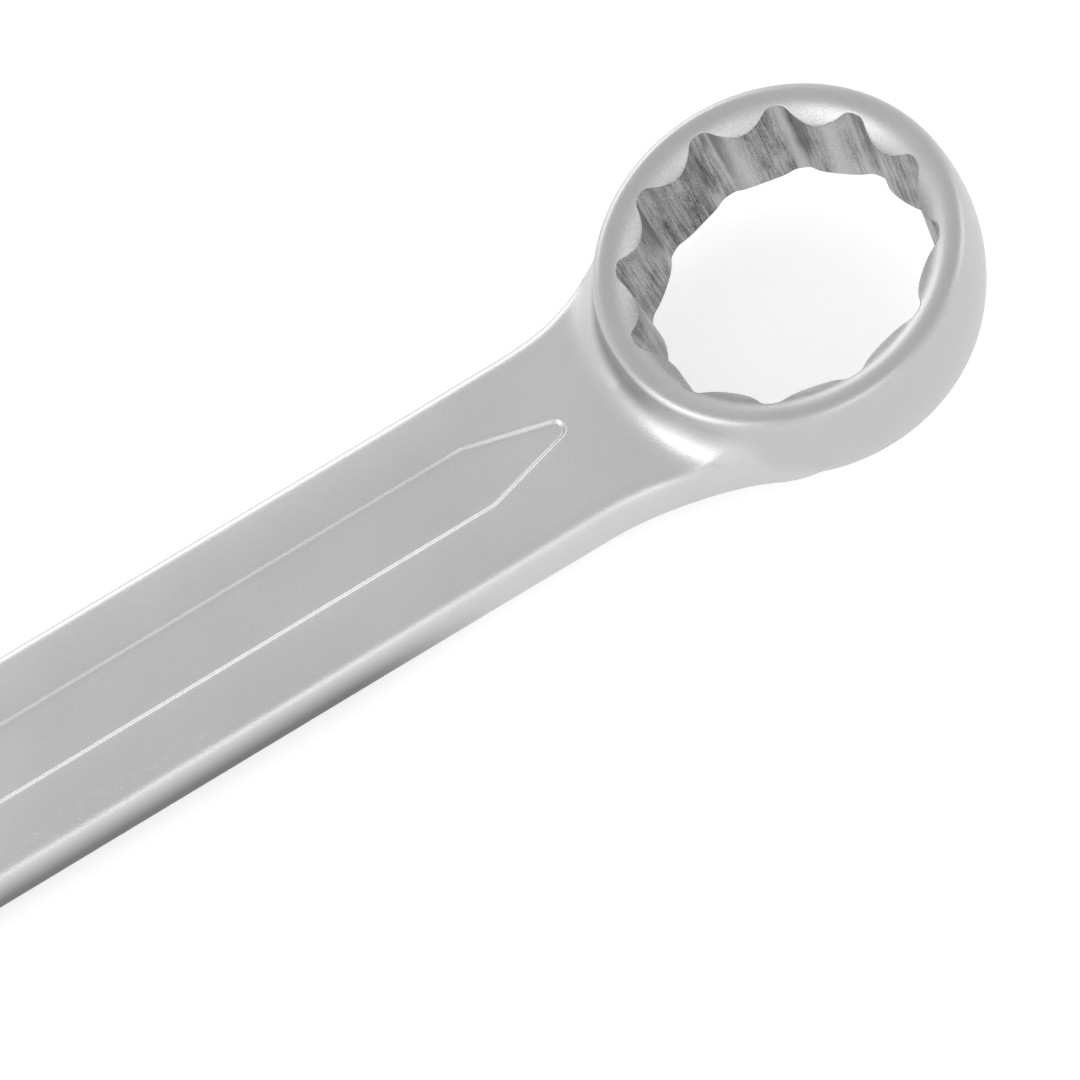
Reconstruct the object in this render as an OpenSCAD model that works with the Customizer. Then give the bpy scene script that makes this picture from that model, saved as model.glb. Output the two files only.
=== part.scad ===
// Combination wrench: a 12-point ring at one end, an open jaw at the other, one steel forging.
// Frame: +X runs from the open end to the ring end, +Z is up, and the wrench lies on z = 0.
// The origin is the middle of its footprint. Millimetres.

/* [Size] */
// Size of nut that both ends take, across its flats
across_flats = 32; // [24:1:46]
// Length from the jaw tips to the ring's far side
overall_length = 355; // [280:5:480]

/* [Ring end] */
// Wall of the ring outside its deepest notch
ring_wall = 3.9; // [3:0.1:6]
// Height of the ring along its bore
ring_h = 16.4; // [12:0.1:22]
// Radius of the ring's rounded outer edges
ring_edge_r = 2.6; // [1:0.1:4]
// Angle by which the ring tips up from the shank
ring_offset = 10; // [0:1:15]
// Turn of the notches about the bore, from the shank's axis
broach_turn = 3.6; // [0:0.1:15]
// Number of notches in the ring
points = 12; // [12]
// Height of the lead-in cone at each mouth
mouth_chamfer = 3; // [1:0.1:4]

/* [Shank] */
// Width of the shank
shank_w = 26; // [20:0.5:34]
// Thickness of the shank over its rails
shank_h = 7.9; // [6:0.1:12]
// Radius of the shank's long edges
shank_edge_r = 1.9; // [0.5:0.1:3]
// Width of the sunken panel on each face
panel_w = 9.2; // [5:0.1:14]
// Depth of the sunken panel
panel_depth = 0.5; // [0.2:0.1:1]
// Length of the panel's tapered end
panel_taper = 12; // [8:0.1:24]
// Radius that blends the shank into the ring, seen from above
ring_neck_r = 42; // [20:1:60]
// Radius that blends the shank into the open head, seen from above
head_neck_r = 34; // [20:1:60]

/* [Open end] */
// Width of the open head
head_d = 66.6; // [56:0.1:90]
// Thickness of the open head
head_h = 11.1; // [8:0.1:16]
// Radius of the head's rounded rim
head_edge_r = 1.8; // [0.5:0.1:3]
// Angle of the jaws from the shank
jaw_angle = 15; // [0:1:22]
// How far the jaw tips reach past the nut's centre
jaw_reach = 21; // [16:0.5:30]
// Gap between the throat and a seated nut
throat_gap = 0.6; // [0.2:0.1:2]

/* [Hidden] */
$fn = 96;

// Socket: the notches reach notch_r, and round lands between them stand in to land_r.
notch_r = across_flats * 0.585;
land_r = notch_r * 0.908;
land_round_r = notch_r * 0.30;
ring_r = notch_r + ring_wall;

// Section of the ring: a barrelled wall of large radius runs tangent into each edge's arc.
barrel_r = 30;
edge_in_z = ring_h / 2 - ring_edge_r;
edge_in_r = ring_r - barrel_r + sqrt(pow(barrel_r - ring_edge_r, 2) - pow(edge_in_z, 2));
barrel_angle = asin(edge_in_z / (barrel_r - ring_edge_r));

// The tilted ring's lowest edge touches z = 0, and so does the open head.
ring_z = edge_in_z * cos(ring_offset) + edge_in_r * sin(ring_offset) + ring_edge_r;
ring_reach = (ring_r - barrel_r) * cos(ring_offset) + barrel_r;
ring_x = overall_length / 2 - ring_reach;
mid_z = head_h / 2;

// The nut's centre in the open end. The tip corner that reaches furthest sets the length.
head_r = head_d / 2;
tip_half = sqrt(head_r * head_r - jaw_reach * jaw_reach);
tip_corner = 5;
tip_out = jaw_reach * cos(jaw_angle) + (tip_half - tip_corner) * sin(jaw_angle);
head_x = tip_out - overall_length / 2;

// Where each neck's blend arc leaves the straight edge of the shank
function neck_start(disc_r, blend_r) =
    sqrt(pow(disc_r + blend_r, 2) - pow(shank_w / 2 + blend_r, 2));
ring_neck_x = ring_x - neck_start(ring_r, ring_neck_r);
head_neck_x = head_x + neck_start(head_r, head_neck_r);

// The ring's web ends where its flares touch the ring, because the ring rises beyond that.
ring_touch_x = ring_x - ring_r * (ring_x - ring_neck_x) / (ring_r + ring_neck_r);

// The panel runs between the necks and ends in a point with a round nose.
panel_nose_r = 1.1;
panel_ring_tip = ring_x - notch_r * 1.66;
panel_head_tip = head_neck_x - 8;

// Rectangle with its outer corners rounded, on the axis of revolution
module rim_profile(radius, height, corner_r) {
    square_w = radius - corner_r;
    translate([0, -height / 2]) square([square_w, height]);
    translate([0, corner_r - height / 2]) square([radius, height - 2 * corner_r]);
    for (side = [-1, 1])
        translate([square_w, side * (height / 2 - corner_r)]) circle(corner_r);
}

// Points along an arc, from one angle to another in equal steps
function arc(centre, radius, from, to, steps) = [
    for (i = [0 : steps])
        let (angle = from + (to - from) * i / steps)
            centre + radius * [cos(angle), sin(angle)]
];

// Solid blank of the ring: a low edge arc, the barrelled wall, then a high edge arc
module ring_blank() {
    rotate_extrude()
        polygon(concat(
            [[0, ring_h / 2], [0, -ring_h / 2]],
            arc([edge_in_r, -edge_in_z], ring_edge_r, -90, -barrel_angle, 8),
            arc([ring_r - barrel_r, 0], barrel_r, -barrel_angle * 0.75, barrel_angle * 0.75, 6),
            arc([edge_in_r, edge_in_z], ring_edge_r, barrel_angle, 90, 8)
        ));
}

// Round lands that stand into the bore between the notches
module lands() {
    intersection() {
        for (i = [0 : points - 1])
            rotate([0, 0, (i + 0.5) * 360 / points])
                translate([land_r + land_round_r, 0, 0])
                    cylinder(h = ring_h, r = land_round_r, center = true);
        cylinder(h = ring_h, r = notch_r + 1, center = true);
    }
}

// Lead-in cones at both mouths of the socket
module mouth_cones() {
    mouth_r = land_r + mouth_chamfer;
    for (side = [0, 1])
        rotate([180 * side, 0, 0])
            translate([0, 0, ring_h / 2 - mouth_chamfer])
                cylinder(h = 2 * mouth_chamfer, r1 = land_r, r2 = mouth_r + mouth_chamfer);
}

// Places its children in the ring's own frame, with the bore along Z
module at_ring() {
    translate([ring_x, 0, ring_z])
        rotate([0, -ring_offset, 0])
            rotate([0, 0, -broach_turn])
                children();
}

// Places its children in the jaws' own frame: +X runs out of the jaws from the nut's centre
module at_jaws() {
    translate([head_x, 0, mid_z])
        rotate([0, 0, 180 + jaw_angle])
            children();
}

// Straight shank between two places: a flat bar with round long edges
module bar(from_x, to_x) {
    flat_w = shank_w - 2 * shank_edge_r;
    flat_h = shank_h - 2 * shank_edge_r;
    translate([from_x, 0, mid_z])
        rotate([90, 0, 90])
            linear_extrude(to_x - from_x) {
                square([shank_w, flat_h], center = true);
                square([flat_w, shank_h], center = true);
                for (x = [-1, 1], y = [-1, 1])
                    translate([x * flat_w / 2, y * flat_h / 2]) circle(shank_edge_r);
            }
}

// Cuts a flare beside a neck: an arc in plan whose top and bottom edges are rounded
module flare_cutter(blend_r) {
    outer_r = blend_r + shank_edge_r;
    flat_h = shank_h - 2 * shank_edge_r;
    rotate_extrude()
        difference() {
            translate([0, -shank_h]) square([outer_r, 2 * shank_h]);
            translate([blend_r, -flat_h / 2]) square([2 * shank_edge_r, flat_h]);
            for (side = [-1, 1])
                translate([outer_r, side * flat_h / 2]) circle(shank_edge_r);
        }
}

// Neck web between the straight shank and a head, with a concave flare on each side
module neck(from_x, to_x, blend_x, blend_r, disc_r) {
    flare_y = shank_w / 2 + blend_r;
    half_w = disc_r * flare_y / (disc_r + blend_r);
    difference() {
        translate([min(from_x, to_x), -half_w, mid_z - shank_h / 2])
            cube([abs(to_x - from_x), 2 * half_w, shank_h]);
        for (side = [-1, 1])
            translate([blend_x, side * flare_y, mid_z])
                flare_cutter(blend_r);
    }
}

// Ramp that thickens the neck towards the open head, on both faces
module head_ramp() {
    ramp_end_x = head_neck_x - 6;
    ramp_top_x = head_x + head_r * 0.62;
    ramp_w = 1.7 * head_r;
    difference() {
        translate([0, ramp_w / 2, mid_z])
            rotate([90, 0, 0])
                linear_extrude(ramp_w)
                    polygon([
                        [head_x, head_h / 2],
                        [ramp_top_x, head_h / 2],
                        [ramp_end_x, shank_h / 2],
                        [ramp_end_x, -shank_h / 2],
                        [ramp_top_x, -head_h / 2],
                        [head_x, -head_h / 2],
                    ]);
        for (side = [-1, 1])
            translate([head_neck_x, side * (shank_w / 2 + head_neck_r), mid_z])
                cylinder(h = 2 * head_h, r = head_neck_r + shank_edge_r, center = true);
    }
}

// Round open head, trimmed square across the jaw tips with cut corners
module open_head_blank() {
    at_jaws()
        intersection() {
            rotate_extrude() rim_profile(head_r, head_h, head_edge_r);
            linear_extrude(head_h, center = true)
                polygon([
                    [-head_d, -head_d],
                    [jaw_reach - 3 * tip_corner, -head_d],
                    [jaw_reach - 3 * tip_corner, -tip_half - 3.2 * tip_corner],
                    [jaw_reach, -tip_half + tip_corner],
                    [jaw_reach, tip_half - tip_corner],
                    [jaw_reach - 3 * tip_corner, tip_half + 3.2 * tip_corner],
                    [jaw_reach - 3 * tip_corner, head_d],
                    [-head_d, head_d],
                ]);
        }
}

// Gap between the jaws, with a hexagonal throat and relief in its corners
module throat_cut() {
    half = across_flats / 2;
    apex = (half + throat_gap) / cos(30);
    shoulder = (half + throat_gap - half * sin(30)) / cos(30);
    relief_r = 1.6;
    apex_r = 3;
    at_jaws()
        linear_extrude(2 * head_h, center = true) {
            polygon([
                [head_d, half], [-shoulder, half], [-apex, 0],
                [-shoulder, -half], [head_d, -half],
            ]);
            translate([apex_r * 0.6 - apex, 0]) circle(apex_r);
            for (side = [-1, 1])
                translate([-shoulder, side * (half - relief_r * 0.5)]) circle(relief_r);
        }
}

// Sunken panel on both faces, with a pointed, round-nosed end towards each head
module panel_cut() {
    for (side = [0, 1])
        translate([0, 0, mid_z])
            rotate([180 * side, 0, 0])
                translate([0, 0, shank_h / 2 - panel_depth])
                    linear_extrude(shank_h)
                        polygon([
                            [panel_ring_tip, 0],
                            [panel_ring_tip - panel_nose_r * 0.6, panel_nose_r * 0.9],
                            [panel_ring_tip - panel_taper, panel_w / 2],
                            [panel_head_tip + panel_taper, panel_w / 2],
                            [panel_head_tip + panel_nose_r * 0.6, panel_nose_r * 0.9],
                            [panel_head_tip, 0],
                            [panel_head_tip + panel_nose_r * 0.6, -panel_nose_r * 0.9],
                            [panel_head_tip + panel_taper, -panel_w / 2],
                            [panel_ring_tip - panel_taper, -panel_w / 2],
                            [panel_ring_tip - panel_nose_r * 0.6, -panel_nose_r * 0.9],
                        ]);
}

module wrench_forging() {
    color("silver")
        difference() {
            union() {
                difference() {
                    union() {
                        bar(head_x, ring_x);
                        neck(ring_neck_x, ring_touch_x, ring_neck_x, ring_neck_r, ring_r);
                        neck(head_neck_x, head_x, head_neck_x, head_neck_r, head_r);
                        head_ramp();
                        open_head_blank();
                        at_ring() ring_blank();
                    }
                    at_ring() cylinder(h = 2 * ring_h, r = notch_r, center = true);
                }
                at_ring() lands();
            }
            at_ring() mouth_cones();
            throat_cut();
            panel_cut();
        }
}

wrench_forging();
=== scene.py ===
import math

import bmesh
import bpy
import numpy as np
from mathutils import Matrix, Vector


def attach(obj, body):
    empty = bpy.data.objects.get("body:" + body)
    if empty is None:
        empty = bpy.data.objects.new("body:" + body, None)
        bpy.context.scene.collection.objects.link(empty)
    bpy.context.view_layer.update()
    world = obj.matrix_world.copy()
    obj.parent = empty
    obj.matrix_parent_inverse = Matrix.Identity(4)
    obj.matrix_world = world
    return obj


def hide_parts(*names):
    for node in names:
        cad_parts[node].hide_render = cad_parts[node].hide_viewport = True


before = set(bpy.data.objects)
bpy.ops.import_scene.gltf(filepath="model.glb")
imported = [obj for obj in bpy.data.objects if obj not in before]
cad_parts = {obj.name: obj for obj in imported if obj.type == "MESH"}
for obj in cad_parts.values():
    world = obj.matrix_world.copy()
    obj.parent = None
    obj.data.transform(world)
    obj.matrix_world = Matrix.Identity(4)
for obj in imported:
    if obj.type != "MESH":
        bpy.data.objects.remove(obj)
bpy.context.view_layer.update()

# Camera. It stands in front of the wrench, above it and a little towards the ring,
# and is rolled so that the shank runs up across the frame to the right.
camera_data = bpy.data.cameras.new("camera")
camera_data.sensor_width = 36.0
camera_data.lens = 66.95
camera_data.clip_start = 0.01
camera = bpy.data.objects.new("camera", camera_data)
bpy.context.collection.objects.link(camera)
camera_turn = Matrix(
    (
        (0.8555, 0.5154, -0.0493),
        (-0.4793, 0.7524, -0.4519),
        (-0.1959, 0.4102, 0.8907),
    )
)
camera.matrix_world = Matrix.Translation((0.10262, -0.11526, 0.21404)) @ camera_turn.to_4x4()
bpy.context.scene.camera = camera

# Ring end. A drop-forged ring, barrelled outside, with dished faces and a broached socket
# of twelve notches between round lands. A web with a rounded edge runs out of its wall to
# the shank, and a fillet joins the two. Lengths are in millimetres until the mesh is made.
TILT = math.radians(10)
RING_X, RING_Z, MID_Z = 154.768, 11.491, 5.55
RING_R, RING_HALF, BARREL, RIDGE = 22.62, 8.05, 30.0, 1.4
NOTCH_R, LAND_R, LAND_ROUND = 18.72, 16.998, 5.616
SHANK_W, SHANK_H, EDGE_R = 26.0, 7.9, 1.9
ring_axes = np.array(
    [[math.cos(TILT), 0, math.sin(TILT)], [0, 1, 0], [-math.sin(TILT), 0, math.cos(TILT)]]
)
barrel_in = RING_R - BARREL
ridge_w = RING_HALF - RIDGE
ridge_r = barrel_in + math.sqrt((BARREL - RIDGE) ** 2 - ridge_w**2)
lean = math.asin(ridge_w / (BARREL - RIDGE))


def smooth(x):
    """Rises from 0 to 1 as x goes from 0 to 1, level at both ends."""
    x = np.clip(x, 0, 1)
    return x * x * (3 - 2 * x)


def soft_min(a, b, k):
    """The smaller of a and b, rounded over a width of about k where they cross."""
    return 0.5 * (a + b - np.sqrt((a - b) ** 2 + k * k))


def ring_point(phi, r, w):
    """Ring centre + r (cos phi towards the tip + sin phi across) + w along the bore."""
    local = np.stack(np.broadcast_arrays(r * np.cos(phi), r * np.sin(phi), w), axis=-1)
    return local @ ring_axes + [RING_X, 0, RING_Z]


def ring_outside(q):
    """(r, w) at length q down the outside: a tight arc, the long barrel arc, a tight arc."""
    tight, wall = RIDGE * (math.pi / 2 - lean), 2 * BARREL * lean
    high, mid = math.pi / 2 - q / RIDGE, lean - (q - tight) / BARREL
    low = -lean - (q - tight - wall) / RIDGE
    parts = [q < tight, q < tight + wall]
    r = [ridge_r + RIDGE * np.cos(high), barrel_in + BARREL * np.cos(mid)]
    w = [ridge_w + RIDGE * np.sin(high), BARREL * np.sin(mid)]
    return (
        np.select(parts, r, ridge_r + RIDGE * np.cos(low)),
        np.select(parts, w, RIDGE * np.sin(low) - ridge_w),
    )


def socket_radius(phi):
    """Notch radius, or the near side of the nearest land's circle where that is smaller."""
    turn = np.mod(phi + math.radians(3.6), math.pi / 6) - math.pi / 12
    far = LAND_R + LAND_ROUND
    root = np.sqrt(np.maximum(LAND_ROUND**2 - (far * np.sin(turn)) ** 2, 0))
    land = np.where(root > 0, far * np.cos(turn) - root, far)
    return soft_min(land, NOTCH_R + 0.06, 0.5)


def mouth_height(r):
    """Face of the ring: a slight fall inwards from the ridge that steepens as a parabola."""
    inward = np.maximum(ridge_r - r, 0)
    return RING_HALF - 0.06 * inward - 0.2 * np.maximum(inward - 0.25, 0) ** 2


def neck_outline(x, neck_x, flare_r):
    """Half-width of the web at its edge's start, and the outline's outward direction there."""
    past = np.maximum((x - neck_x) * math.copysign(1, neck_x), 0)
    reach = flare_r + EDGE_R
    half = SHANK_W / 2 + flare_r - np.sqrt(reach**2 - past**2)
    side = -math.copysign(1, neck_x) * past / reach
    return half, side, np.sqrt(1 - side**2)


RAYS, FAN = 480, 28
NECK_X, FLARE = 120.85, 42.0
step = np.arange(RAYS) - RAYS // 2
phi = math.pi + step * 2 * math.pi / RAYS
across = np.abs(step)

# Where the ray meets the start of the web's rounded edge, in plan.
ray = np.stack([np.cos(phi), np.sin(phi)], axis=-1)
flare_at = np.stack([np.full(RAYS, NECK_X), np.sign(ray[:, 1]) * (SHANK_W / 2 + FLARE)], -1)
RAY_SHIFT = 1.0
origin = np.array([RING_X + RAY_SHIFT, 0.0])
back = np.sum((origin - flare_at) * ray, axis=1)
gap = np.sum((origin - flare_at) ** 2, axis=1) - (FLARE + EDGE_R) ** 2
edge_at = origin + ray * (-back - np.sqrt(np.maximum(back**2 - gap, 0)))[:, None]
edge_out = (flare_at - edge_at) / (FLARE + EDGE_R)
fan_x = edge_at[RAYS // 2 + FAN, 0]
fan_half = abs(edge_at[RAYS // 2 + FAN, 1])
fan = across <= FAN
spread = np.tan(across * 2 * math.pi / RAYS) / math.tan(FAN * 2 * math.pi / RAYS)
edge_at[fan] = np.stack([np.full(fan.sum(), fan_x), (-np.sign(step) * spread * fan_half)[fan]], -1)

# How much of each ray is web: none beyond the place where the flare touches the ring.
reach_out = np.hypot(*(edge_at + edge_out * EDGE_R - [RING_X, 0]).T) - RING_R
web = np.where(across < 75, smooth(reach_out / 3.0), 0)
web[fan] = 1

# The web's two faces meet the barrel at these lengths down the outside.
tight = RIDGE * (math.pi / 2 - lean)
whole = 2 * tight + 2 * BARREL * lean
sink = np.minimum(np.cos(phi), math.cos(math.radians(118))) * math.sin(TILT)
meets = []
for level in (MID_Z + SHANK_H / 2, MID_Z - SHANK_H / 2):
    w = np.zeros(RAYS)
    for _ in range(8):
        w = (level - RING_Z - (barrel_in + np.sqrt(BARREL**2 - w**2)) * sink) / math.cos(TILT)
        w = np.clip(w, -6.9, 6.9)
    meets.append(tight + BARREL * (lean - np.arcsin(w / BARREL)))
q_top, q_low = meets[0], np.minimum(meets[1], whole - 1.6)


def along(start, stop, count):
    """count values from just after start up to stop, one row each."""
    return start + (stop - start) * (np.arange(1, count + 1) / count)[:, None]


def lerp(a, b, t):
    """Straight mix of two sets of points."""
    return a + (b - a) * t


q_ridge = np.broadcast_to(np.linspace(0, tight, 9)[:, None], (9, RAYS))
q_rows = [along(tight, q_top, 11), along(q_top, q_low, 40)[:-1], along(q_low, whole, 12)]
on_ring = [ring_point(phi, *ring_outside(q)) for q in [q_ridge] + q_rows]
top_in = ring_point(phi, *ring_outside(q_top))
low_in = ring_point(phi, *ring_outside(q_low))
turn = np.radians(np.linspace(0, 90, 9))


def edge_rows(at, out, high, low, radius):
    """Rounded edge from the upper face to the lower one: a quarter circle, a wall, a quarter."""
    run = radius * np.concatenate([np.sin(turn), np.ones(3), np.sin(turn[::-1])])
    drop = radius * (1 - np.cos(turn))
    wall = np.linspace(0, 1, 5)[1:-1, None]
    top, bottom = high - drop[:, None], low + drop[::-1, None]
    z = np.concatenate([top, lerp(top[-1], bottom[0], wall), bottom])
    plan = at + out * run[:, None, None]
    return np.concatenate([plan, z[..., None]], axis=-1)


high = np.full(RAYS, MID_Z + SHANK_H / 2)
low = np.full(RAYS, MID_Z - SHANK_H / 2)
tip = edge_rows(edge_at, edge_out, high, low, EDGE_R)
share = np.linspace(0, 1, 11)[:, None, None]
web_rows = np.concatenate(
    [lerp(top_in, tip[0], share[1:]), tip[1:-1], lerp(tip[-1], low_in, share[:-1])]
)
middle = lerp(on_ring[2], web_rows[: len(on_ring[2])], web[:, None])


def ring_body(p):
    """Distance outside the ring's outer skin: the barrel's arc, or a tight arc at each edge."""
    local = (p - [RING_X, 0, RING_Z]) @ ring_axes.T
    r, w = np.hypot(local[..., 0], local[..., 1]), np.abs(local[..., 2])
    tall = w > (r - barrel_in) * math.tan(lean)
    tight_far = np.hypot(np.maximum(r - ridge_r, 0), w - ridge_w) - RIDGE
    return np.where(tall, tight_far, np.hypot(r - barrel_in, w) - BARREL)


def web_plan(p):
    """Distance outside the web's outline: straight sides, flares, then a disc that shrinks."""
    x, y = p[..., 0] - RING_X, np.abs(p[..., 1])
    flare = FLARE - np.hypot(p[..., 0] - NECK_X, SHANK_W / 2 + FLARE - y)
    beyond = (x * (SHANK_W / 2 + FLARE) + y * (RING_X - NECK_X)) / (RING_R + FLARE)
    disc = np.hypot(x, y) - RING_R + 1.8 * smooth(beyond / 12)
    return np.select([p[..., 0] < NECK_X, beyond < 0], [y - SHANK_W / 2, flare], disc)


def joined(p):
    """Ring and slab joined by a round fillet, cut to the web's outline with a rounded edge."""
    above = p[..., 2] - MID_Z
    rise = smooth((p[..., 0] - 128.0) / 14.0) + 0.4 * np.maximum(p[..., 0] - 142.0, 0)
    underside = SHANK_H / 2 - rise
    ring, slab = ring_body(p), np.maximum(above - SHANK_H / 2, -above - underside)
    radius = np.where(above > 0, 3.3 + 0.15 * np.abs(p[..., 1]), 1.6)
    filled = np.maximum(radius, np.minimum(ring, slab)) - np.hypot(
        np.maximum(radius - ring, 0), np.maximum(radius - slab, 0)
    )
    edge = EDGE_R - np.where(above > 0, 1.2, 0.2) * smooth((p[..., 0] - 127.0) / 8.0)
    a, b = filled + edge, web_plan(p) + edge
    web = np.minimum(np.maximum(a, b), 0) + np.hypot(np.maximum(a, 0), np.maximum(b, 0)) - edge
    return soft_min(ring, web, 0.12)


def settle(p):
    """Moves points along the skin's own slope until they lie on it."""
    for _ in range(10):
        value = joined(p)
        slope = np.stack(
            [(joined(p + h) - joined(p - h)) / 2e-3 for h in 1e-3 * np.eye(3)], axis=-1
        )
        size = np.maximum(np.sum(slope**2, axis=-1), 0.2)
        p = p - slope * np.clip(value / size, -0.6, 0.6)[..., None]
    return p


outer = settle(np.concatenate([on_ring[1], middle, on_ring[3][:-1]]))
A = len(on_ring[1])
# Where the web runs out, the points are evened out between their neighbours and settled again.
fade = (smooth((across - 31) / 9) * (1 - smooth((across - 90) / 8)))[:, None]
for _ in range(12):
    last_ray, next_ray = np.roll(outer, 1, 1)[1:-1], np.roll(outer, -1, 1)[1:-1]
    even = (outer[:-2] + outer[2:] + last_ray + next_ray) / 4
    outer[1:-1] = settle(lerp(outer[1:-1], even, 0.6 * fade))
WEB_TOP, WEB_LOW = A + 9, A + 9 + len(tip) - 1
outer[WEB_TOP, fan], outer[WEB_LOW, fan] = tip[0, fan], tip[-1, fan]

socket = socket_radius(phi)
mouth = 0.16 + (ridge_r - socket - 0.16) * np.linspace(1, 0, 13)[1:, None] ** 1.5
mouth_r = np.concatenate([socket + mouth, (socket + 0.05)[None]])
mouth_w = mouth_height(mouth_r)
lip = mouth_height(socket) - 0.07
wall_w = np.concatenate([lip[None], (lip - 0.15) * np.linspace(1, -1, 13)[:, None], -lip[None]])
wall_r = np.broadcast_to(socket, wall_w.shape)
inner_r = np.concatenate([mouth_r, wall_r, mouth_r[::-1]])
inner_w = np.concatenate([mouth_w, wall_w, -mouth_w[::-1]])
inner = ring_point(phi, inner_r, inner_w)
# One closed loop of rows: down the outside, back in over the lower face, up the socket.
ridge_low = ring_point(phi, *ring_outside(np.full((1, RAYS), whole)))
ring_rows = np.concatenate([on_ring[0], outer, ridge_low, inner[::-1]])
FIRST = len(on_ring[0])
inside_at = FIRST + len(outer) + 1
ring_masks = np.zeros(ring_rows.shape[:2] + (4,))
ring_masks[inside_at:, :, 1] = smooth((19.6 - inner_r[::-1]) / 2.2)
# Painted shade: the ring's skin and socket are marked for a darker copy of the tone.
ring_masks[..., 2] = 1 - smooth(ring_body(ring_rows) / 0.8)
ring_masks[inside_at:, :, 2] = 1
# Painted highlight: the flanks that face along +X, and those that face back and forward, get a
# lighter tone, standing in for the light they catch; they also get less of the broach's streaks.
slope = np.gradient(socket, phi)
facing = np.degrees(phi + math.pi - np.arctan2(slope, socket))
off_side = np.abs(np.mod(facing - 15 + 180, 360) - 180) / 26
off_back = np.abs(np.mod(facing - 235 + 180, 360) - 180) / 15
flank_glint = np.maximum(np.exp(-(off_side**2)), np.exp(-(off_back**2)))
wall_at = inside_at + len(mouth_r)
ring_masks[wall_at : wall_at + len(wall_w), :, 0] = 1 - 0.8 * flank_glint

corners, quads, masks = [], [], []


def add_patch(points, faces, marks=None):
    """Queues a patch of points and faces for the one closed mesh."""
    base = sum(len(c) for c in corners)
    corners.append(points.reshape(-1, 3))
    quads.append(faces.reshape(-1, 4) + base)
    masks.append(np.zeros((len(corners[-1]), 4)) if marks is None else marks.reshape(-1, 4))


def grid_faces(index, wrap_rows=False, wrap_columns=False):
    """Four-cornered faces between neighbouring rows and columns of an index grid."""
    if wrap_rows:
        index = np.concatenate([index, index[:1]])
    if wrap_columns:
        index = np.concatenate([index, index[:, :1]], axis=1)
    return np.stack([index[:-1, :-1], index[1:, :-1], index[1:, 1:], index[:-1, 1:]], axis=-1)


rows, columns = ring_rows.shape[:2]
ring_index = np.arange(rows * columns).reshape(rows, columns)
ring_faces = grid_faces(ring_index, True, True)
top_row, low_row = FIRST + WEB_TOP, FIRST + WEB_LOW
left, right = RAYS // 2 - FAN, RAYS // 2 + FAN
keep = np.ones(ring_faces.shape[:2], bool)
keep[top_row:low_row, left:right] = False
add_patch(ring_rows, ring_faces[keep], ring_masks)

# Shank. A flat bar with round long edges, two slightly crowned rails on each face and a
# shallow sunken panel between them, rolled at its edge and pointed towards each head. It is
# forged in one with both ends; here its section is carried along from the ring's web.
PANEL_W, FLOOR_Z, CROWN = 9.2, 9.0, 0.12
KINK_RING, KINK_HEAD, NOSE = 111.8, -99.6, 1.5
point = math.radians(16.3)
HEAD_NECK_X, HEAD_FLARE = -103.65, 34.0
point_run = PANEL_W / 2 / math.tan(point)
nose_back = NOSE / math.sin(point)


def panel_half(x, kink):
    """Half-width of the panel: straight, tapered past the kink, round over the nose."""
    past = (x - kink) * math.copysign(1, kink)
    from_nose = past - point_run + nose_back
    round_end = np.sqrt(np.maximum(NOSE**2 - from_nose**2, 0))
    taper = np.minimum(PANEL_W / 2, (point_run - past) * math.tan(point))
    return np.where(from_nose > NOSE * math.sin(point), round_end, taper)


def panel_depth_at(x, y, kink):
    """Distance inside the panel's outline: the nearest side, or the circle of the nose."""
    past = (x - kink) * math.copysign(1, kink)
    slant = (point_run - past) * math.sin(point) - np.abs(y) * math.cos(point)
    from_nose = past - point_run + nose_back
    on_nose = from_nose * math.cos(point) > np.abs(y) * math.sin(point)
    return np.where(
        on_nose, NOSE - np.hypot(from_nose, y), np.minimum(PANEL_W / 2 - np.abs(y), slant)
    )


def face_height(x, y):
    """Upper face above the middle plane: crowned rails, the sunken panel, the head's ramp."""
    kink = np.where(x > 0, KINK_RING, KINK_HEAD)
    half = np.where(x > 0, panel_half(x, KINK_RING), panel_half(x, KINK_HEAD))
    edge = SHANK_W / 2 - EDGE_R
    rail = (edge - half) / 2
    crown = CROWN * ((np.abs(y) - half - rail) / rail) ** 2
    crown = crown * (1 - smooth((np.abs(x) - np.abs(kink) + 6) / 14))
    depth = np.where(x > 0, panel_depth_at(x, y, KINK_RING), panel_depth_at(x, y, KINK_HEAD))
    rise = smooth((-114.0 - x) / 19.0)
    body = SHANK_H / 2 + 1.6 * rise - np.where(np.abs(y) < edge + 0.5, crown, crown * 0)
    return lerp(body, FLOOR_Z - MID_Z, smooth((depth + 0.12) / 0.72))


def panel_columns(x, kink, edge):
    """Places across the upper face that follow the panel's floor, wall and rail."""
    half = panel_half(x, kink)
    half = 0.5 * (half + 0.7 + np.sqrt((half - 0.7) ** 2 + 0.1))
    floor = np.maximum(half - 0.62, 0.45 * half)
    parts = [
        floor[:, None] * np.linspace(0, 1, 7),
        lerp(floor[:, None], half[:, None] + 0.14, np.linspace(0, 1, 9)[1:]),
        lerp(half[:, None] + 0.14, edge[:, None], np.linspace(0, 1, 15)[1:]),
    ]
    return np.concatenate(parts, axis=1)


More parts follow.
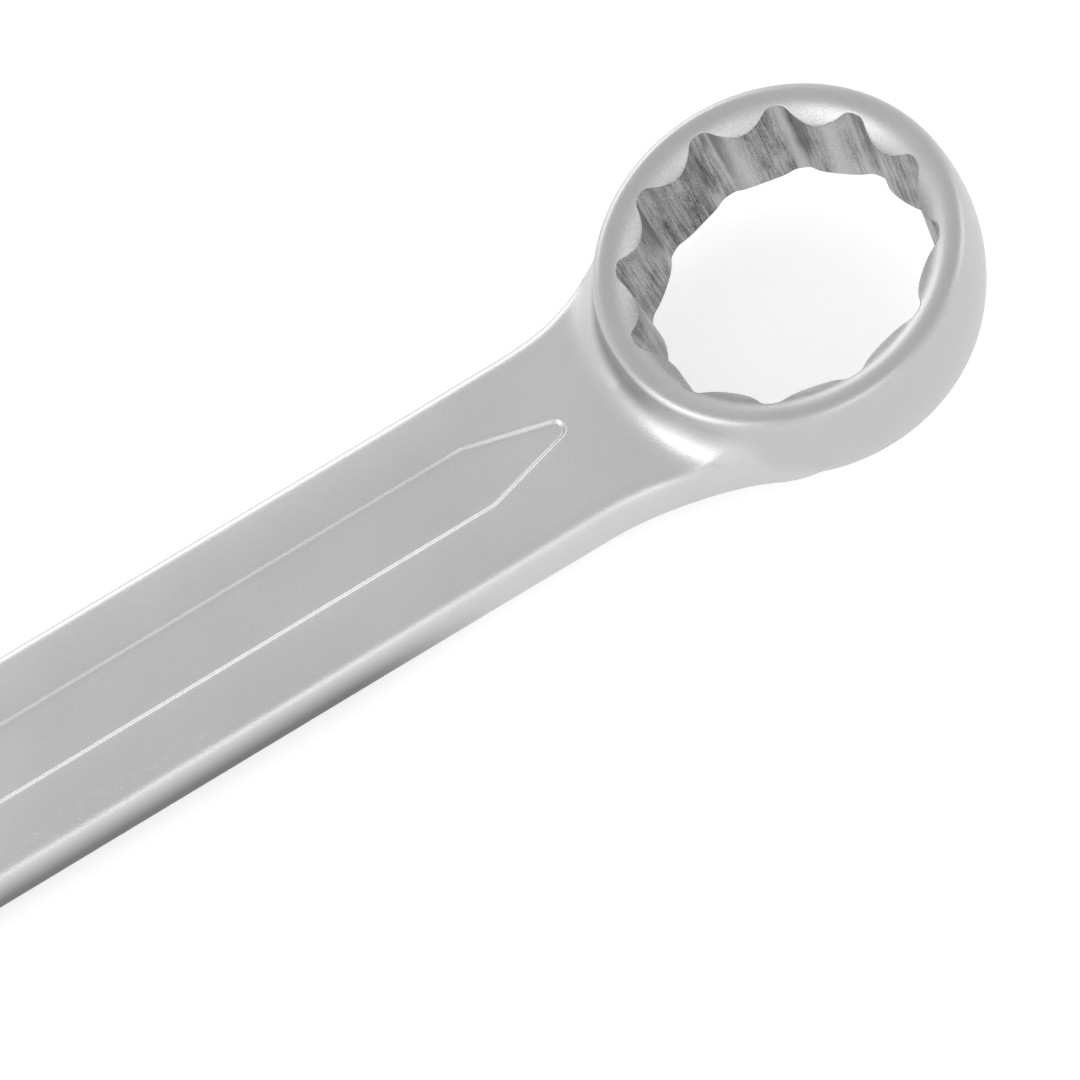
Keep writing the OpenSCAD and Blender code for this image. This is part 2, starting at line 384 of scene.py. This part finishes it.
# Stations run from the ring's fan line to the open head's, closer together at each nose.
ring_tip = KINK_RING + point_run - nose_back + NOSE
head_tip = KINK_HEAD - point_run + nose_back - NOSE
HEAD_FAN_X = -114.6
stations = np.concatenate(
    [
        np.arange(fan_x, ring_tip - 2.4, -0.15),
        np.arange(ring_tip - 2.4, KINK_RING - 1.5, -0.6),
        np.linspace(KINK_RING - 1.5, KINK_HEAD + 1.5, 80),
        np.arange(KINK_HEAD + 1.0, head_tip + 2.4, -0.9),
        np.arange(head_tip + 2.4, HEAD_FAN_X + 0.2, -0.25),
        [HEAD_FAN_X],
    ]
)
ring_side = stations > 0
half_r, side_r, cross_r = neck_outline(stations, NECK_X, FLARE)
half_h, side_h, cross_h = neck_outline(stations, HEAD_NECK_X, HEAD_FLARE)
half_at = np.where(ring_side, half_r, half_h)
side_at = np.where(ring_side, side_r, side_h)
cross_at = np.where(ring_side, cross_r, cross_h)
tip_at = np.where(ring_side, ring_tip, -head_tip)
fan_at = np.where(ring_side, fan_x, -HEAD_FAN_X)
columns_panel = np.where(
    ring_side[:, None],
    panel_columns(stations, KINK_RING, half_at),
    panel_columns(stations, KINK_HEAD, half_at),
)
fan_share = np.tan(np.arange(FAN + 1) * 2 * math.pi / RAYS)
fan_share = fan_share / fan_share[-1]
mix = smooth((np.abs(stations) - tip_at + 0.4) / (fan_at - tip_at + 0.4))[:, None]
half_columns = lerp(columns_panel, half_at[:, None] * fan_share, mix)
column_y = np.concatenate([half_columns[:, :0:-1], -half_columns], axis=1)
top_y = column_y.T
top_x = np.broadcast_to(stations, top_y.shape)
top_z = face_height(top_x, top_y)
shank_top = np.stack([top_x, top_y, MID_Z + top_z], axis=-1)
shank_low = shank_top * [1, 1, -1] + [0, 0, 2 * MID_Z]


def shank_side(sign):
    """Rounded edge, wall and lower rounded edge on one side, station by station."""
    at = np.stack([stations, sign * half_at], axis=-1)
    out = np.stack([side_at, sign * cross_at], axis=-1)
    top = shank_top[0 if sign > 0 else -1, :, 2]
    return edge_rows(at, out, top, 2 * MID_Z - top, EDGE_R)


near = shank_side(-1)[1:-1]
far = shank_side(1)[1:-1]
shank_rows = np.concatenate([shank_top, near, shank_low[::-1], far[::-1]])
# The first station is the ring's own row of points, so that the two patches share it.
fan_slice = slice(RAYS // 2 - FAN, RAYS // 2 + FAN + 1)
first = np.concatenate(
    [
        ring_rows[top_row, fan_slice],
        ring_rows[top_row + 1 : low_row, right],
        ring_rows[low_row, fan_slice][::-1],
        ring_rows[top_row + 1 : low_row, left][::-1],
    ]
)
shank_rows[:, 0] = first
shank_index = np.arange(shank_rows.shape[0] * shank_rows.shape[1])
shank_index = shank_index.reshape(shank_rows.shape[:2])
# Painted shade: the tone is darkened low down on both long sides, standing in for the dark
# reflection of the shadow under the shank; it fades out towards the ring and the head.
low_side_shade = np.clip((MID_Z + 3.2 - shank_rows[..., 2]) / 4.5, 0, 1) * (
    np.abs(shank_rows[..., 1]) > SHANK_W / 2 - EDGE_R - 0.05
)
shank_masks = np.zeros(shank_rows.shape[:2] + (4,))
shank_masks[..., 3] = low_side_shade * smooth((110 - np.abs(shank_rows[..., 0])) / 25)
add_patch(shank_rows, grid_faces(shank_index, wrap_rows=True), shank_masks)

# Open end. A round head, thicker than the shank, turned 15 degrees, with two flat jaw faces
# 32 mm apart, a hexagonal throat and cut-off tips. It is forged in one with the shank. Rays
# from the nut's centre carry its section from one jaw tip round the back to the other.
HEAD_X, HEAD_R, HEAD_EDGE, JAW_TURN = -151.821, 33.3, 1.8, math.radians(15)
JAW, REACH, THROAT, TIP_ROUND, SIDE = 16.0, 21.0, 16.6, 1.0, 62
jaw_turn = math.pi + JAW_TURN
jaw_out = np.array([math.cos(jaw_turn), math.sin(jaw_turn)])
jaw_side = np.array([-jaw_out[1], jaw_out[0]])
nut = np.array([HEAD_X, 0.0])
end_line = shank_top[:, -1, :2] - nut
fan_rays = np.arctan2(end_line[:, 1], end_line[:, 0])


def ray_sweep(tip_turn):
    """Ray angles from one jaw tip to the fan, through it, and on to the other jaw tip."""
    first_side = np.linspace(jaw_turn - tip_turn, fan_rays[0], SIDE + 1)[:-1]
    last_side = np.linspace(fan_rays[-1], jaw_turn + tip_turn - 2 * math.pi, SIDE + 1)[1:]
    return np.concatenate([first_side, fan_rays, last_side])


theta_in = ray_sweep(math.atan2(JAW, REACH - TIP_ROUND))
TIP_HALF, CUT_REACH, CUT_TURN, HEAD_FLARE_Y = 22.24, 29.2, 0.62, 47.0
theta_out = ray_sweep(math.atan2(TIP_HALF, REACH - TIP_ROUND))
ray_in = np.stack([np.cos(theta_in), np.sin(theta_in)], axis=-1)
ray_out = np.stack([np.cos(theta_out), np.sin(theta_out)], axis=-1)
off_in = np.abs(np.mod(theta_in - jaw_turn + math.pi, 2 * math.pi) - math.pi)
off_out = np.abs(np.mod(theta_out - jaw_turn + math.pi, 2 * math.pi) - math.pi)

# Inner outline: jaw faces, then the throat's flats, with a relief in each corner.
jaw_face = JAW / np.maximum(np.sin(off_in), 0.05)
flat = THROAT / np.maximum(np.cos(off_in - math.radians(150)), 0.05)
relief = 0.9 * np.exp(-(((off_in - math.radians(122)) / 0.06) ** 2))
relief = relief + 0.9 * np.exp(-(((off_in - math.pi) / 0.09) ** 2))
throat = np.where(off_in < 1.2, jaw_face, soft_min(jaw_face, flat, 0.6) + relief)

# Outer outline: the disc with its cut corners, and the flares that run in from the shank.
cut = CUT_REACH / np.maximum(np.cos(off_out - CUT_TURN), 0.2)
disc = soft_min(HEAD_R, cut, 0.8)
flare_c = np.stack(
    [np.full(len(theta_out), HEAD_NECK_X), np.sign(theta_out) * HEAD_FLARE_Y], axis=-1
)
back = np.sum((nut - flare_c) * ray_out, axis=1)
gap = np.sum((nut - flare_c) ** 2, axis=1) - HEAD_FLARE**2
hit = -back - np.sqrt(np.maximum(back**2 - gap, 0))
touch = math.atan2(HEAD_FLARE_Y, HEAD_NECK_X - HEAD_X)
outline = nut + ray_out * np.where(np.abs(theta_out) < touch, hit, disc)[:, None]
heading = np.gradient(outline, axis=0)
head_out = np.stack([-heading[:, 1], heading[:, 0]], axis=-1)
head_out = head_out / np.linalg.norm(head_out, axis=1)[:, None]
head_out = head_out * np.sign(np.sum(head_out * ray_out, axis=1))[:, None]
edge_at = outline - head_out * HEAD_EDGE
fan_head = slice(SIDE, SIDE + 2 * FAN + 1)
edge_at[fan_head] = shank_top[:, -1, :2]
lip_in = nut + ray_in * throat[:, None]


def head_high(plan):
    """Upper face of the head: level, then a smooth ramp down to the shank."""
    rise = smooth((-114.0 - plan[..., 0]) / 19.0)
    return MID_Z + SHANK_H / 2 + (5.55 - SHANK_H / 2) * rise


bend = np.radians(np.linspace(0, 90, 5))[:, None]
lip_plan = lip_in + ray_in * 0.6 * (1 - np.cos(bend))[..., None]
lip_z = head_high(lip_in) - 0.6 + 0.6 * np.sin(bend)
lip_rows = np.concatenate([lip_plan, lip_z[..., None]], axis=-1)
climb = np.array([0, 0.5])[:, None]
wall_rows = np.concatenate(
    [
        np.broadcast_to(lip_in, (2,) + lip_in.shape),
        lerp(MID_Z, lip_z[0], climb)[..., None],
    ],
    axis=-1,
)
face_plan = lerp(lip_plan[-1], edge_at, (np.arange(1, 14) / 13)[:, None, None])
face_rows = np.concatenate([face_plan, head_high(face_plan)[..., None]], axis=-1)
top_at = face_rows[-1, :, 2]
rim = edge_rows(edge_at, head_out, top_at, 2 * MID_Z - top_at, HEAD_EDGE)
upper = np.concatenate([wall_rows, lip_rows, face_rows])
lower = upper[:0:-1] * [1, 1, -1] + [0, 0, 2 * MID_Z]
head_rows = np.concatenate([upper, rim[1:-1], lower])
head_top, head_low = len(upper) - 1, len(upper) + len(rim) - 2
head_rows[head_top, fan_head] = shank_top[:, -1]
head_rows[head_low, fan_head] = shank_low[:, -1]
head_rows[head_top + 1 : head_low, SIDE] = far[:, -1]
head_rows[head_top + 1 : head_low, SIDE + 2 * FAN] = near[:, -1]

head_index = np.arange(head_rows.shape[0] * head_rows.shape[1]).reshape(head_rows.shape[:2])
head_faces = grid_faces(head_index, wrap_rows=True)
keep = np.ones(head_faces.shape[:2], bool)
keep[head_top:head_low, SIDE : SIDE + 2 * FAN] = False
add_patch(head_rows, head_faces[keep])


def tip_cap(loop):
    """Closes a jaw tip: loops that step out and in round a quarter circle, then a face."""
    plan = loop[:, :2] - nut
    out, side = plan @ jaw_out, plan @ jaw_side
    mid = (side.max() + side.min()) / 2
    half = (side.max() - side.min()) / 2
    tall = loop[:, 2].max() - MID_Z
    beta = np.radians(np.linspace(0, 90, 7))[:, None]
    inset = TIP_ROUND * (1 - np.cos(beta))
    out = out + (REACH - out) * np.sin(beta)
    side = mid + (side - mid) * (1 - inset / half)
    z = MID_Z + (loop[:, 2] - MID_Z) * (1 - inset / tall)
    layers = nut + out[..., None] * jaw_out + side[..., None] * jaw_side
    layers = np.concatenate([layers, z[..., None]], axis=-1)
    index = np.arange(layers.shape[0] * layers.shape[1]).reshape(layers.shape[:2])
    last, count = index[-1], len(loop)
    i = np.arange(count // 2)
    cap = np.stack([last[i], last[i + 1], last[-i - 1], last[-i]], axis=-1)
    add_patch(layers, np.concatenate([grid_faces(index, wrap_columns=True).reshape(-1, 4), cap]))


tip_cap(head_rows[:, 0])
tip_cap(head_rows[:, -1])

# The patches are welded where their edges share points, and turned to face outwards.
points = np.concatenate(corners) / 1000
faces = np.concatenate(quads)
mask = np.concatenate(masks)
_, first_at, same = np.unique(
    np.round(points, 7), axis=0, return_index=True, return_inverse=True
)
faces = same.reshape(-1)[faces]
used, faces = np.unique(faces, return_inverse=True)
faces = faces.reshape(-1, 4)
wrench_mesh = bpy.data.meshes.new("forging")
polygons = [list(dict.fromkeys(face)) for face in faces.tolist()]
wrench_mesh.from_pydata(points[first_at][used].tolist(), [], polygons)
kept = mask[first_at][used]
for column, name in enumerate(("broached_minus_glint", "mouth", "ring_shade", "low_side_shade")):
    layer = wrench_mesh.attributes.new(name, "FLOAT", "POINT")
    layer.data.foreach_set("value", kept[:, column].astype(np.float32))
work = bmesh.new()
work.from_mesh(wrench_mesh)
bmesh.ops.recalc_face_normals(work, faces=work.faces)
work.to_mesh(wrench_mesh)
work.free()
wrench_mesh.polygons.foreach_set("use_smooth", np.ones(len(wrench_mesh.polygons), bool))
wrench = bpy.data.objects.new("forging", wrench_mesh)
bpy.context.collection.objects.link(wrench)
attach(wrench, "root")
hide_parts("wrench_forging")

# Chrome. Satin plate over the forging, with a fine even grain; the broached walls are darker
# and streaked along the bore, and the mouths' lead-in is grainier and brighter.
chrome = bpy.data.materials.new("satin chrome")
chrome.use_nodes = True
tree = chrome.node_tree
shader = tree.nodes["Principled BSDF"]


def add_node(kind, **values):
    """A new node in the chrome's tree with some of its inputs set."""
    node = tree.nodes.new(kind)
    for name, value in values.items():
        node.inputs[name.replace("_", " ")].default_value = value
    return node


def math_node(operation, a, b, clamp=False):
    """A math node; a and b are sockets or numbers."""
    node = tree.nodes.new("ShaderNodeMath")
    node.operation, node.use_clamp = operation, clamp
    for socket, value in zip(node.inputs, (a, b)):
        if isinstance(value, (int, float)):
            socket.default_value = value
        else:
            tree.links.new(value, socket)
    return node.outputs[0]


def rescale(value, low, high, to_low, to_high):
    """Maps a value from one range to another, clamped."""
    node = add_node(
        "ShaderNodeMapRange", From_Min=low, From_Max=high, To_Min=to_low, To_Max=to_high
    )
    tree.links.new(value, node.inputs["Value"])
    return node.outputs[0]


def noise(vector, scale, detail=2.0, rough=0.5):
    """Noise over a vector, as a value about 0.5."""
    node = add_node("ShaderNodeTexNoise", Scale=scale, Detail=detail, Roughness=rough)
    tree.links.new(vector, node.inputs["Vector"])
    return node.outputs["Fac"]


def mapped(vector, turn=(0, 0, 0), scale=(1, 1, 1)):
    """The vector turned, then stretched."""
    turned = add_node("ShaderNodeMapping", Rotation=turn)
    stretched = add_node("ShaderNodeMapping", Scale=scale)
    tree.links.new(vector, turned.inputs["Vector"])
    tree.links.new(turned.outputs[0], stretched.inputs["Vector"])
    return stretched.outputs[0]


def mask_of(name):
    """One of the mesh's own masks."""
    node = tree.nodes.new("ShaderNodeAttribute")
    node.attribute_name = name
    return node.outputs["Fac"]


def mixed(mask, off, on):
    """off where the mask is 0, on where it is 1."""
    change = math_node("SUBTRACT", on, off)
    return math_node("ADD", off, math_node("MULTIPLY", change, mask))


place = tree.nodes.new("ShaderNodeTexCoord").outputs["Object"]
broached_minus_glint, in_mouth = mask_of("broached_minus_glint"), mask_of("mouth")
ring_shade, low_shade = mask_of("ring_shade"), mask_of("low_side_shade")
grain = noise(place, 5400, 3)
cloud = noise(place, 70, 3)
bore_way = mapped(place, turn=(0, TILT, 0), scale=(1, 1, 0.05))
streak = noise(bore_way, 2600, 4, 0.7)
chatter = noise(mapped(place, turn=(0, TILT, 0), scale=(1, 1, 0.5)), 330, 3)

speckle = rescale(grain, 0.35, 0.65, -0.012, 0.015)
plain_tone = math_node("ADD", rescale(cloud, 0.3, 0.7, 0.53, 0.56), speckle)
ring_shade_tone = math_node("MULTIPLY", plain_tone, 0.86)
mouth_tone = rescale(grain, 0.35, 0.65, 0.50, 0.64)
streak_tone = rescale(streak, 0.38, 0.62, 0.07, 0.38)
streak_tone = mixed(0.35, streak_tone, rescale(grain, 0.38, 0.62, 0.06, 0.50))
wall_tone = math_node("ADD", streak_tone, rescale(chatter, 0.35, 0.65, -0.06, 0.12), True)
# Painted shade: the ring gets a darker copy (0.86) of the plain tone, standing in for dimmer light
# on its walls.
tone = mixed(ring_shade, plain_tone, ring_shade_tone)
# The broached walls' dark streaked tone, left off the flanks that carry the painted highlight.
tone = mixed(broached_minus_glint, mixed(in_mouth, tone, mouth_tone), wall_tone)
# Painted shade low on the shank's long sides: the tone falls to 0.24 of itself there.
tone = math_node("MULTIPLY", tone, mixed(low_shade, 1.0, 0.24))
colour = tree.nodes.new("ShaderNodeCombineColor")
for socket in colour.inputs[:3]:
    tree.links.new(tone, socket)
tree.links.new(colour.outputs[0], shader.inputs["Base Color"])
shader.inputs["Metallic"].default_value = 1.0
roughness = mixed(in_mouth, rescale(cloud, 0.3, 0.7, 0.32, 0.36), 0.40)
tree.links.new(mixed(broached_minus_glint, roughness, 0.36), shader.inputs["Roughness"])

# Fine ticks along the near long edge, where the forging was ground by hand.
TICK_X, TICK_Y = 0.062, 0.0105
axes = tree.nodes.new("ShaderNodeSeparateXYZ")
tree.links.new(place, axes.inputs[0])
from_edge = math_node("ABSOLUTE", math_node("ADD", axes.outputs["Y"], TICK_Y), 0)
from_middle = math_node("ABSOLUTE", math_node("SUBTRACT", axes.outputs["X"], TICK_X), 0)
near_edge = rescale(from_edge, 0.0, 0.0045, 1, 0)
part_way = rescale(from_middle, 0.01, 0.035, 1, 0)
ticks = noise(mapped(place, turn=(0, 0, 0.9), scale=(0.3, 1, 1)), 2600, 2)
tick_area = math_node("MULTIPLY", near_edge, part_way)
ticks = math_node("MULTIPLY", rescale(ticks, 0.55, 0.7, 0, 1), tick_area)
fine = math_node("MULTIPLY", grain, mixed(in_mouth, 0.03, 0.05))
ribs = math_node("MULTIPLY", streak, math_node("MULTIPLY", broached_minus_glint, 0.10))
height = math_node("ADD", math_node("ADD", fine, ribs), math_node("MULTIPLY", ticks, -0.03))
bump = add_node("ShaderNodeBump", Strength=1.0, Distance=0.001)
tree.links.new(height, bump.inputs["Height"])
tree.links.new(bump.outputs[0], shader.inputs["Normal"])
wrench_mesh.materials.append(chrome)

# Floor. A plain pale sheet under the wrench, just below its lowest point. It is lit a
# little from below like a light table, so that it stays white inside the ring.
FLOOR_HALF, FLOOR_LEVEL = 3, -7e-5
floor_mesh = bpy.data.meshes.new("floor")
floor_mesh.from_pydata(
    [
        (-FLOOR_HALF, -FLOOR_HALF, FLOOR_LEVEL),
        (FLOOR_HALF, -FLOOR_HALF, FLOOR_LEVEL),
        (FLOOR_HALF, FLOOR_HALF, FLOOR_LEVEL),
        (-FLOOR_HALF, FLOOR_HALF, FLOOR_LEVEL),
    ],
    [],
    [(0, 1, 2, 3)],
)
floor = bpy.data.objects.new("floor", floor_mesh)
bpy.context.collection.objects.link(floor)
paper = bpy.data.materials.new("pale paper")
paper.use_nodes = True
paper_shader = paper.node_tree.nodes["Principled BSDF"]
paper_shader.inputs["Base Color"].default_value = (0.6, 0.6, 0.6, 1)
paper_shader.inputs["Roughness"].default_value = 0.9
paper_shader.inputs["Emission Color"].default_value = (1, 1, 1, 1)
paper_shader.inputs["Emission Strength"].default_value = 0.57
floor_mesh.materials.append(paper)

# Light. A pale surround that is dimmer overhead than at the horizon, and four large soft
# lamps that stand low around the wrench, so the rounded edges catch them and the flats do not.
world = bpy.data.worlds.new("studio")
bpy.context.scene.world = world
world.use_nodes = True
sky = world.node_tree
coords = sky.nodes.new("ShaderNodeTexCoord")
split = sky.nodes.new("ShaderNodeSeparateXYZ")
ramp = sky.nodes.new("ShaderNodeMapRange")
ramp.inputs["From Min"].default_value = 0.25
ramp.inputs["From Max"].default_value = 0.9
ramp.inputs["To Min"].default_value = 1.05
ramp.inputs["To Max"].default_value = 0.84
sky.links.new(coords.outputs["Generated"], split.inputs[0])
sky.links.new(split.outputs["Z"], ramp.inputs["Value"])
sky.links.new(ramp.outputs[0], sky.nodes["Background"].inputs["Strength"])
sky.nodes["Background"].inputs["Color"].default_value = (1, 1, 1, 1)


def soft_lamp(name, azimuth, height, size, watts):
    """A square area lamp 1.2 m away that faces the shank near the ring."""
    lamp_data = bpy.data.lights.new(name, "AREA")
    lamp_data.size = size
    lamp_data.energy = watts
    lamp = bpy.data.objects.new(name, lamp_data)
    bpy.context.collection.objects.link(lamp)
    a, e = math.radians(azimuth), math.radians(height)
    away = Vector((math.cos(a) * math.cos(e), math.sin(a) * math.cos(e), math.sin(e)))
    lamp.location = Vector((0.1, 0, 0)) + away * 1.2
    lamp.rotation_euler = away.to_track_quat("Z", "Y").to_euler()


soft_lamp("left lamp", 184, 20, 0.75, 3.3)
soft_lamp("front lamp", 262, 26, 0.7, 1.2)
soft_lamp("right lamp", 350, 20, 0.7, 1.1)
soft_lamp("back lamp", 95, 12, 0.8, 2.7)
bpy.context.scene.view_settings.view_transform = "Standard"
